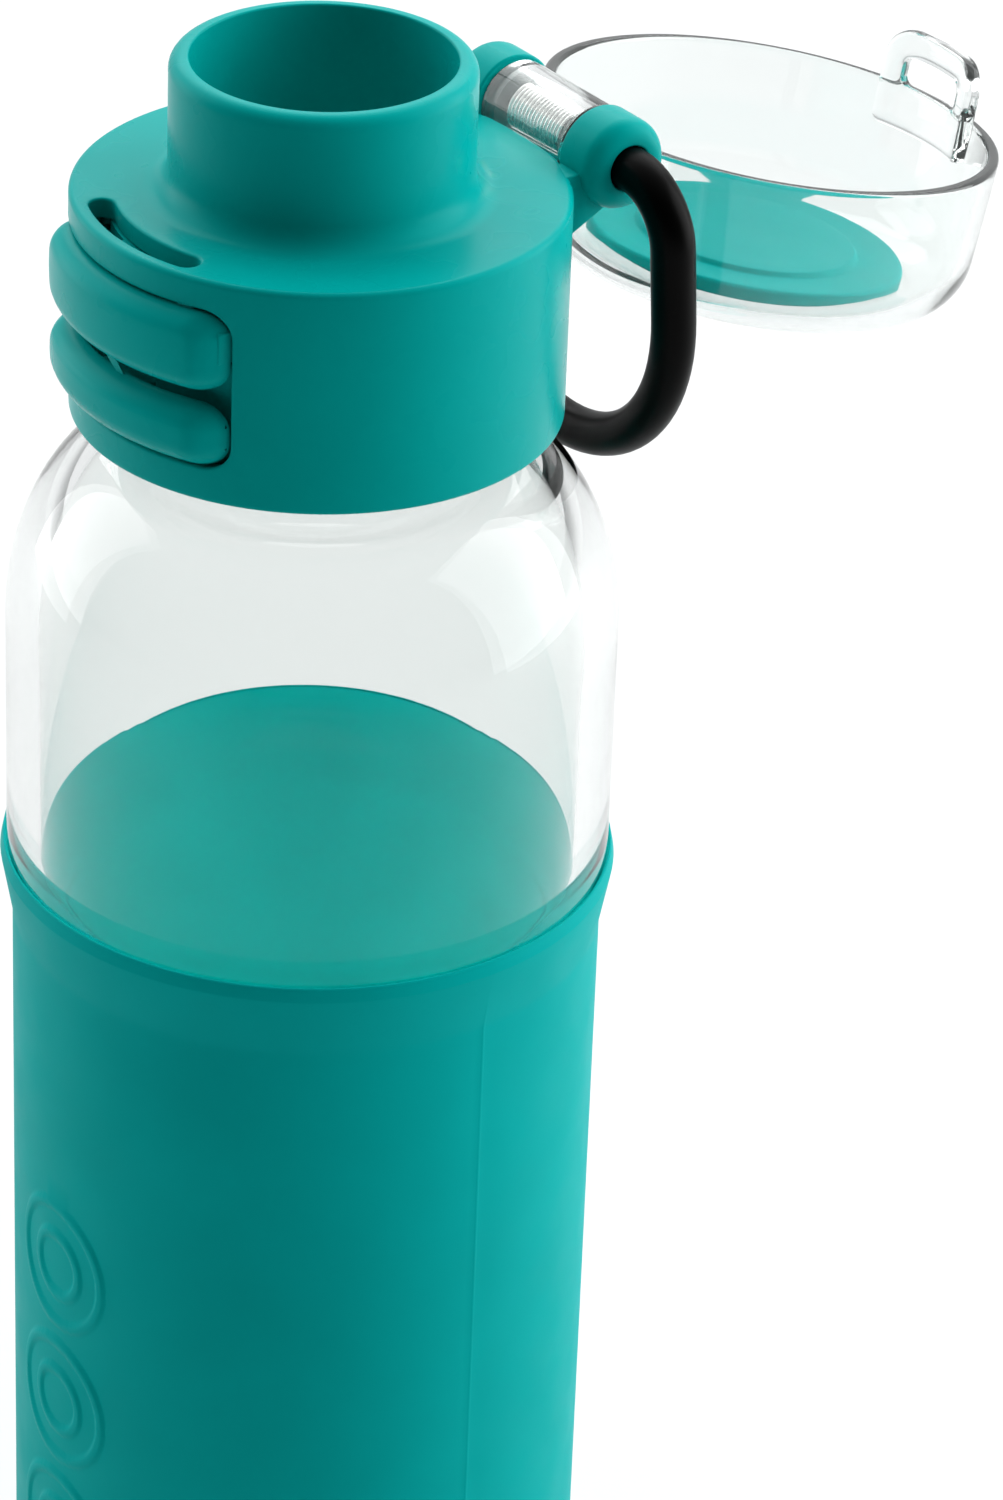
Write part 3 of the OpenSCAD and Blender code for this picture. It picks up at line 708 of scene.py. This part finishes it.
extra = bmesh.new()
merge(extra, curved_block((-WINDOW_W - 1.4, -5.2), (PANEL_IN, PANEL_OUT), (0.4, PANEL_TOP)))
merge(extra, curved_block((5.2, WINDOW_W + 1.4), (PANEL_IN, PANEL_OUT), (0.4, PANEL_TOP)))
merge(extra, curved_block((-5.3, 5.3), (PANEL_IN, PANEL_OUT), (0.4, 5.4)))
merge(extra, curved_block((-5.3, 5.3), (PANEL_IN, PANEL_OUT), (12.6, PANEL_TOP)))
for side in (-1, 1):
    cheek = sorted((side * WINDOW_W, side * (WINDOW_W + 1.5)))
    merge(extra, curved_block(cheek, (PANEL_IN, shell_in + 0.4), (0.4, top_under + 0.2), 0.2, 4))
    seat = side * SPRING_X
    merge(extra, box_mesh((seat - 1.6, seat + 1.6), (SEAT_Y - 0.7, SEAT_Y), (17.2, top_under + 0.2), 0.2))
panel_x = WINDOW_W + 1.4
merge(extra, curved_block((-panel_x, panel_x), (PANEL_IN, shell_in + 0.4), (0.4, WINDOW_LO - 1.2)))
for k in range(6):
    rib = box_mesh((SPOUT_R - 0.4, shell_in + 0.3), (-0.7, 0.7), (RIM_H + 3.6, top_under + 0.3), 0.2)
    merge(extra, rib, Matrix.Rotation(radians(20 + 28 * k), 4, "Z"))

to_pin = Matrix.Translation((0, hinge.y, hinge.z - cap_z))
along_x = Matrix.Rotation(radians(90), 4, "Y")
knuckle_outline = rounded([
    (PIN_R + 0.03, KNUCKLE_IN, 0), (KNUCKLE_R, KNUCKLE_IN, 0.3), (KNUCKLE_R, KNUCKLE_OUT, DOME),
    (ROD_R + 0.1, KNUCKLE_OUT, 0.25), (ROD_R + 0.1, KNUCKLE_IN + 3, 0), (PIN_R + 0.03, KNUCKLE_IN + 3, 0)], 8)
web_outline = [(1.9, -5.08), (-1.6, -5.2), (-8.6, -8.9), (-8.6, -0.32), (-3, -0.32), (0, 2)]
for side in (1, -1):
    turned = bmesh.new()
    spin(turned, dense(knuckle_outline, 1.2), 72)
    bmesh.ops.recalc_face_normals(turned, faces=turned.faces)
    merge(extra, turned, to_pin @ Matrix.Scale(side, 4, (1, 0, 0)) @ along_x)
    web = bmesh.new()
    loft(web, [[(x, y, z) for y, z in web_outline] for x in (KNUCKLE_IN + 0.35, KNUCKLE_OUT - DOME)])
    bmesh.ops.recalc_face_normals(web, faces=web.faces)
    bmesh.ops.bevel(web, geom=web.edges[:], offset=0.3, segments=3, profile=0.5, affect="EDGES")
    merge(extra, web, to_pin @ Matrix.Scale(side, 4, (1, 0, 0)))
fittings = new_piece("fittings", extra, cap_plastic, 35)
whole = bmesh.new()
whole.from_mesh(cap.data)
whole.from_mesh(fittings.data)
bpy.data.objects.remove(fittings)
whole.to_mesh(cap.data)
whole.free()
smooth(cap, 32)
cap.data.transform(Matrix.Translation((0, 0, cap_z * MM)))
settle(cap, "cap", "cap_plastic", "cap_shell")

# %% [markdown]
# The two pads are thick moulded crescents that wrap the collar. Each is a box with wide round corners
# and a softer round over the front edge, bent to the collar and crowned so that light rolls
# over it. The upper pad carries two arms past the slot to the catch; the lower one slides on a stem.

# %% Pads
PAD_R, PAD_IN = 30.7, 27.85
PAD_W = WINDOW_W - 0.35


def pad_mesh(low, high, corner, roll, crown):
    """A crescent pad between two heights, with corner radius, rolled front edge and crown in mm."""
    bm = bmesh.new()
    bmesh.ops.create_cube(bm, size=1)
    middle, half = (low + high) / 2, (high - low) / 2
    for v in bm.verts:
        x, y, z = v.co
        v.co = Vector((x * 2 * PAD_W, y * (PAD_R - PAD_IN) - (PAD_R + PAD_IN) / 2, z * 2 * half + middle))
    upright_edges = [e for e in bm.edges if abs(e.verts[0].co.y - e.verts[1].co.y) > 1]
    bmesh.ops.bevel(bm, geom=upright_edges, offset=corner, segments=10, profile=0.5, affect="EDGES")
    front = [e for e in bm.edges if all(v.co.y < -PAD_R + 0.01 for v in e.verts)]
    bmesh.ops.bevel(bm, geom=front, offset=roll, segments=9, profile=0.5, affect="EDGES")
    for k in range(1, 9):
        geom = bm.verts[:] + bm.edges[:] + bm.faces[:]
        cut = (0, 0, low + (high - low) * k / 9)
        bmesh.ops.bisect_plane(bm, geom=geom, plane_co=cut, plane_no=(0, 0, 1), dist=1e-5)
    for v in bm.verts:
        if v.co.y < -PAD_IN - 0.5:
            v.co.y += crown * (((v.co.z - middle) / half) ** 2 + (v.co.x / PAD_W) ** 6)
    return bend_round(bm, 44)


BUTTON_LO, LOCK_HI = 13.7, 12.1
button_bm = pad_mesh(BUTTON_LO, WINDOW_HI - 0.3, 3.0, 2.3, 0.35)
SPRING_LEN, SPRING_Z, ARM_W = 3.8, 19.4, 9.4
boss_y = SEAT_Y - 0.8 - SPRING_LEN
for side in (-1, 1):
    arm = side * (ARM_W + 1)
    merge(button_bm, box_mesh((arm - 1, arm + 1), (-26.6, -20.9), (17.2, 22.6), 0.25))
    boss = side * SPRING_X
    merge(button_bm, box_mesh((boss - 1.6, boss + 1.6), (-24.2, boss_y), (17.4, SPRING_Z + 1.8), 0.25))
button = new_piece("release_pad", button_bm, cap_plastic, 30)
button.data.transform(Matrix.Translation((0, 0, cap_z * MM)))
settle(button, "button", "cap_plastic", "release_button")

lock_bm = pad_mesh(WINDOW_LO + 0.3, LOCK_HI, 3.0, 2.6, 0.5)
merge(lock_bm, box_mesh((-4.4, 4.4), (-28.0, -22.6), (6.2, 10.6), 0.3))
merge(lock_bm, box_mesh((-7, 7), (-23.6, -22.6), (5.6, 13.6), 0.2))
merge(lock_bm, box_mesh((-4, 4), (-22.7, -21.8), (10, 16.6), 0.2))
lock = new_piece("lock_pad", lock_bm, cap_plastic, 30)
lock.data.transform(Matrix.Translation((0, 0, cap_z * MM)))
settle(lock, "lock", "cap_plastic", "lock_slider")

# %% [markdown]
# A rod that bends, such as the carry loop or a wound spring, is a circle carried along a path. The
# circle is turned a little at each step so that it never twists, and its ends are closed with a
# small dome.

# %% Rod helper
def sweep(bm, path, radius, sides=24, dome=0.4):
    """A round rod along a list of points, with soft ends."""
    points = [Vector(p) for p in path]
    last = len(points) - 1
    tangents = [(points[min(i + 1, last)] - points[max(i - 1, 0)]).normalized() for i in range(last + 1)]
    side = tangents[0].orthogonal().normalized()
    rings = []
    for i, (p, t) in enumerate(zip(points, tangents)):
        side = (side - t * side.dot(t)).normalized()
        other = t.cross(side)
        turns = [2 * pi * k / sides for k in range(sides)]
        rings.append([bm.verts.new(p + (side * cos(a) + other * sin(a)) * radius) for a in turns])
    for here, there in zip(rings, rings[1:]):
        for k in range(sides):
            bm.faces.new((here[k], here[(k + 1) % sides], there[(k + 1) % sides], there[k]))
    for ring, p, t, s in ((rings[0], points[0], tangents[0], -1), (rings[-1], points[-1], tangents[-1], 1)):
        inner = [bm.verts.new(p + t * s * dome + (v.co - p) * (1 - dome / radius)) for v in ring]
        for k in range(sides):
            bm.faces.new((ring[k], ring[(k + 1) % sides], inner[(k + 1) % sides], inner[k]))
        bm.faces.new(inner)
    return bm


# %% [markdown]
# The carry loop is a moulded rubber bail. Its ends go into the knuckles, turn down at once and meet in
# a wide round. The model makes it a circle in section all the way, so one rod does.

# %% Carry loop
LOOP_W, BEND_R, LOOP_DROP, LOOP_ANGLE = 22.5, 7.2, 16.0, 86

end_x, bend_x = KNUCKLE_IN + 3.4, LOOP_W - BEND_R
half_path = [(end_x + (bend_x - end_x) * k / 4, 0, 0) for k in range(5)]
half_path += [(bend_x + BEND_R * sin(radians(a)), 0, -BEND_R + BEND_R * cos(radians(a)))
              for a in range(6, 91, 6)]
half_path += [(LOOP_W, 0, -BEND_R - (LOOP_DROP - BEND_R) * k / 5) for k in range(1, 6)]
half_path += [(LOOP_W * cos(radians(a)), 0, -LOOP_DROP - LOOP_W * sin(radians(a))) for a in range(4, 91, 4)]
half_path.append((0, 0, -LOOP_DROP - LOOP_W))
loop_path = half_path + [(-x, y, z) for x, y, z in reversed(half_path[:-1])]
bm = bmesh.new()
sweep(bm, loop_path, ROD_R, 36, 0.3)
loop = new_piece("rubber_carry_loop", bm, loop_rubber, 40)
loop.data.transform(Matrix.Translation(hinge * MM) @ Matrix.Rotation(radians(90 - LOOP_ANGLE), 4, "X"))
settle(loop, "loop", "black_rubber", "carry_loop")

# %% [markdown]
# Three springs. The one on the hinge pin is wound close, coil against coil, and throws the lid open;
# the two behind the release pad are open coils that push it back out. Each is a real helix. They
# keep their rest length, so a pressed pad runs over the ends of its two springs, inside the cap.

# %% Springs
TORSION_MID, TORSION_HALF, TORSION_WIRE = 2.45, 5.0, 0.6
COIL_R, COIL_WIRE = 1.25, 0.5


def helix(radius, start, stop, turns, per_turn=28):
    """Points of an even helix round X."""
    n = int(turns * per_turn)
    angles = [2 * pi * k / per_turn for k in range(n + 1)]
    return [(start + (stop - start) * k / n, radius * cos(a), radius * sin(a)) for k, a in enumerate(angles)]


bm = bmesh.new()
coils = (2 * TORSION_HALF - TORSION_WIRE) / (TORSION_WIRE * 1.01)
coil_end = TORSION_HALF - TORSION_WIRE / 2
sweep(bm, helix(TORSION_MID, -coil_end, coil_end, coils, 32), TORSION_WIRE / 2 - 0.005, 12, 0.05)
torsion = new_piece("lid_spring", bm, spring_steel, 60)
torsion.data.transform(Matrix.Translation(hinge * MM))
settle(torsion, "cap", "steel", "torsion_spring")

for name, side in (("button_spring_left", -1), ("button_spring_right", 1)):
    bm = bmesh.new()
    tip = COIL_WIRE / 2 + 0.05
    sweep(bm, helix(COIL_R, tip, SPRING_LEN - tip, 5), COIL_WIRE / 2, 10, 0.03)
    coil = new_piece(name + "_wire", bm, spring_steel, 60)
    foot = Vector((side * SPRING_X, boss_y + 0.05, cap_z + SPRING_Z)) * MM
    coil.data.transform(Matrix.Translation(foot) @ Matrix.Rotation(radians(90), 4, "Z"))
    settle(coil, "cap", "steel", name)

# %% [markdown]
# The lid is one clear moulding: a shallow bowl, a catch tab that stands on its rim and a barrel that
# turns on the pin. Clear plastic shows every inner face, so the parts are welded with booleans
# into one closed skin before the bore is cut. The tab is a rounded frame bent to the rim.

# %% Clear lid
LID_R, LID_WALL, LID_DEPTH = 27.35, 1.5, 19.6
BARREL_R, BARREL_HALF, BARREL_BORE = 5.05, 7.8, 3.3
TAB_W, TAB_H, TAB_IN, TAB_OUT = 8.4, 7.4, 24.0, 26.1
HOLE_W, HOLE_LO, HOLE_HI = 5.2, 0.6, 4.2

at_pin = Matrix.Translation(hinge)
drooped = at_pin @ Matrix.Rotation(-radians(LID_DROOP), 4, "X")
lid_place = drooped @ Matrix.Translation((0, hinge.y, 0))
lid_outline = rounded([
    (0, -LID_DEPTH, 0), (LID_R - 0.9, -LID_DEPTH, 7.0), (LID_R, -1.5, 0), (LID_R, 0, 0.55),
    (LID_R - LID_WALL, 0, 0.55), (LID_R - LID_WALL, -1.5, 0),
    (LID_R - 0.9 - LID_WALL, -LID_DEPTH + LID_WALL, 6.0), (0, -LID_DEPTH + LID_WALL, 0)], 6)
bm = bmesh.new()
spin(bm, dense(lid_outline, 1.6), 180)
bm.transform(lid_place)
lid = new_piece("clear_flip_lid", bm, lid_plastic)


def frame_mesh(outer, inner, thick, bulge=0.55, turns=20):
    """A flat frame with a rounded section between two outlines of equal point count."""
    bm = bmesh.new()
    rings = []
    for (ox, oz), (ix, iz) in zip(outer, inner):
        ring = []
        for k in range(turns):
            a = 2 * pi * k / turns
            across = abs(cos(a)) ** bulge * (1 if cos(a) >= 0 else -1)
            deep = abs(sin(a)) ** bulge * (1 if sin(a) >= 0 else -1)
            part_way = (across + 1) / 2
            point = (ix + (ox - ix) * part_way, deep * thick / 2, iz + (oz - iz) * part_way)
            ring.append(bm.verts.new(point))
        rings.append(ring)
    for here, there in zip(rings, rings[1:] + rings[:1]):
        for k in range(turns):
            bm.faces.new((here[k], here[(k + 1) % turns], there[(k + 1) % turns], there[k]))
    return bm


def even(points, count):
    """Resamples a closed outline to evenly spaced points, starting level with its middle on the right."""
    closed = points + points[:1]
    lengths = [0]
    for (a0, b0), (a1, b1) in zip(closed, closed[1:]):
        lengths.append(lengths[-1] + sqrt((a1 - a0) ** 2 + (b1 - b0) ** 2))
    made, i = [], 0
    for k in range(count):
        goal = lengths[-1] * k / count
        while lengths[i + 1] < goal:
            i += 1
        f = (goal - lengths[i]) / max(1e-9, lengths[i + 1] - lengths[i])
        (a0, b0), (a1, b1) = closed[i:i + 2]
        made.append((a0 + (a1 - a0) * f, b0 + (b1 - b0) * f))
    return made


tab_corners = [(TAB_W, 1.0, 0), (TAB_W, TAB_H, 4), (-TAB_W, TAB_H, 4), (-TAB_W, -5, 1), (TAB_W, -5, 1)]
hole_corners = [(HOLE_W, 1.5, 0), (HOLE_W, HOLE_HI, 1.4), (-HOLE_W, HOLE_HI, 1.4),
                (-HOLE_W, HOLE_LO, 1.2), (HOLE_W, HOLE_LO, 1.2)]
outer, inner = even(rounded(tab_corners, 7), 96), even(rounded(hole_corners, 12), 96)
tab = frame_mesh(outer, inner, TAB_OUT - TAB_IN)
tab_middle = (TAB_IN + TAB_OUT) / 2
for v in tab.verts:
    r, t = tab_middle + v.co.y, v.co.x / tab_middle
    v.co = Vector((r * sin(t), r * cos(t), v.co.z))
bmesh.ops.recalc_face_normals(tab, faces=tab.faces)
tab.transform(lid_place)
carve(lid, tab, "UNION")

arm_x = BARREL_HALF - 0.4
arm_bm = box_mesh((-arm_x, arm_x), (1, hinge.y - LID_R + 2.2), (-BARREL_R + 0.35, -0.5), 0.4)
arm_bm.transform(drooped)
room = bmesh.new()
room_r = LID_R - LID_WALL + 0.5
spin(room, [(0, -LID_DEPTH + 2), (room_r, -LID_DEPTH + 2), (room_r, 3), (0, 3)], 180)
room.transform(lid_place)
arm = new_piece("lid_arm", arm_bm, lid_plastic)
carve(arm, room)
barrel_bm = bmesh.new()
barrel_outline = [(0, -BARREL_HALF, 0), (BARREL_R, -BARREL_HALF, 0.35), (BARREL_R, BARREL_HALF, 0.35),
                  (0, BARREL_HALF, 0)]
spin(barrel_bm, rounded(barrel_outline, 15), 96)
barrel_bm.transform(at_pin @ along_x)
barrel = new_piece("lid_barrel", barrel_bm, lid_plastic)
for part in (barrel, arm):
    joint = bmesh.new()
    joint.from_mesh(part.data)
    bmesh.ops.scale(joint, verts=joint.verts, vec=(1 / MM, 1 / MM, 1 / MM))
    carve(lid, joint, "UNION")
    bpy.data.objects.remove(part)
bore = bmesh.new()
past = BARREL_HALF + 1
spin(bore, [(0, -past), (BARREL_BORE, -past), (BARREL_BORE, past), (0, past)], 72)
bore.transform(at_pin @ along_x)
carve(lid, bore)
smooth(lid, 40)
settle(lid, "flip_lid", "clear_plastic", "lid")

# %% [markdown]
# A silicone disc lies in the bottom of the lid and closes the spout. A low step near its middle
# plugs the bore, and its edge is rolled so that it can be peeled out for washing.

# %% Lid seal
SEAL_R, SEAL_DEPTH, PLUG_R = 19.1, 15.7, 13.0
seal_bed = -LID_DEPTH + LID_WALL + 0.06
seal_outline = rounded([
    (0, seal_bed, 0), (SEAL_R, seal_bed, 0.5), (SEAL_R, -SEAL_DEPTH, 0.7),
    (PLUG_R + 0.5, -SEAL_DEPTH, 0.5), (PLUG_R, -SEAL_DEPTH + 0.7, 0.5), (0, -SEAL_DEPTH + 0.7, 0)], 15)
bm = bmesh.new()
spin(bm, dense(seal_outline, 2), 144)
bm.transform(lid_place)
seal = new_piece("lid_seal_disc", bm, seal_rubber, 50)
settle(seal, "flip_lid", "clear_silicone", "lid_seal")

# %% [markdown]
# The small hidden parts keep their exact meshes and only get a finish: the pin, its two bushes, the
# threaded liner, the neck ring and the hook that the lid tab snaps behind.

# %% Finishes for the exact parts
for node, material in (("hinge_pin", spring_steel), ("pin_bush_left", inner_plastic),
                       ("pin_bush_right", inner_plastic), ("thread_liner", liner_plastic),
                       ("neck_gasket", ring_rubber), ("catch_hook", cap_plastic)):
    exact = frame["nodes"][node]
    exact.data.materials.clear()
    exact.data.materials.append(material)
    exact.data.shade_smooth()
    exact.data.set_sharp_from_angle(angle=radians(32))
    print(node, "finished in", material.name)

# %% [markdown]
# The floor is a sheet of pale paper under the bottle. It takes no part in the object.

# %% Floor
floor_material, tree = blank("pale_paper")
tooth = add(tree, "ShaderNodeBump", {}, {"Strength": 0.3, "Distance": 0.0001, "Height": grain(tree, 2)})
paper = add(tree, "ShaderNodeBsdfPrincipled", {}, {
    "Base Color": linear("#D6D7D7"), "Roughness": 0.95, "Specular IOR Level": 0.1,
    "Normal": tooth.outputs["Normal"]})
add(tree, "ShaderNodeOutputMaterial", {}, {"Surface": paper.outputs[0]})
bm = bmesh.new()
bmesh.ops.create_grid(bm, x_segments=4, y_segments=4, size=4000)
floor = new_piece("paper_floor", bm, floor_material)
floor.location.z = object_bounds()[0].z - 0.0002
